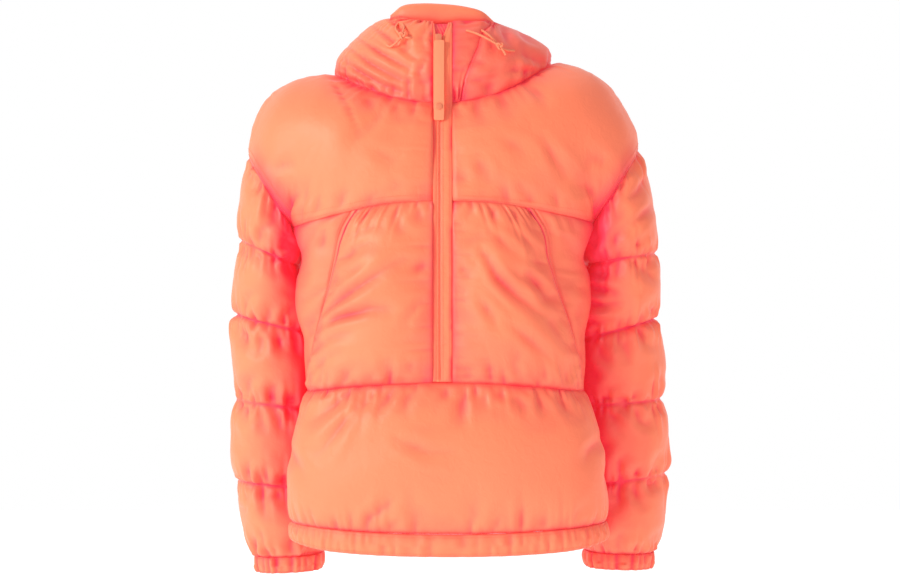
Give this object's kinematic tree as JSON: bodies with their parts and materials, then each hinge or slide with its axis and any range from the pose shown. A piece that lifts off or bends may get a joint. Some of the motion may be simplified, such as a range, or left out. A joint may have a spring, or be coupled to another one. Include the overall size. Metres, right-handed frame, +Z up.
{
  "type": "hooded half-zip puffer jacket",
  "caption": "Hooded half-zip puffer jacket, filled out and hollow, with yoke, baffled sleeves, slanted pockets, gathered cuffs, drawcords and a hanging zip pull.",
  "frame": {"origin": "middle of the wearer's neck base, where the shoulders carry the jacket", "axes": "+Z up, the front of the jacket faces -Y, +X towards the wearer's left"},
  "size_m": [0.6232, 0.3157, 0.7955],
  "materials": {
    "shell": "coral-orange woven nylon over padding, soft satin",
    "trim": "the same nylon, gathered or stitched flat, unpadded",
    "webbing": "matte woven tape",
    "metal": "small fittings enamelled near the cloth's colour",
    "cord": "round elastic cord"
  },
  "bodies": {
    "jacket": {"front_yoke_right": "shell", "front_yoke_left": "shell", "back_yoke_right": "shell", "back_yoke_left": "shell", "front_mid_right": "shell", "front_mid_left": "shell", "side_panel_right": "shell", "side_panel_left": "shell", "front_lower": "shell", "back_lower": "shell", "back_mid": "shell", "sleeve_right": "shell", "sleeve_left": "shell", "collar_right": "shell", "collar_left": "shell", "hood_left": "shell", "hood_back": "shell", "crown_band": "shell", "pocket_welt_right": "trim", "pocket_welt_left": "trim", "zip_placket": "trim", "hem_band": "trim", "cuff_right": "trim", "cuff_left": "trim", "zip_tape_right": "webbing", "zip_chain": "webbing", "zip_slider": "metal", "drawcord_right_bow": "cord", "drawcord_left_upper": "cord", "drawcord_left_lower": "cord"},
    "zip_pull": {"zip_pull_tab": "webbing", "pull_snap": "metal"}
  },
  "joints": [
    {"name": "zip_pull_swing", "type": "hinge", "parent": "jacket", "child": "zip_pull", "pos_m": [-0.005, -0.1114, 0.059], "axis": [-1, 0, 0], "range_deg": [0, 150]}
  ]
}
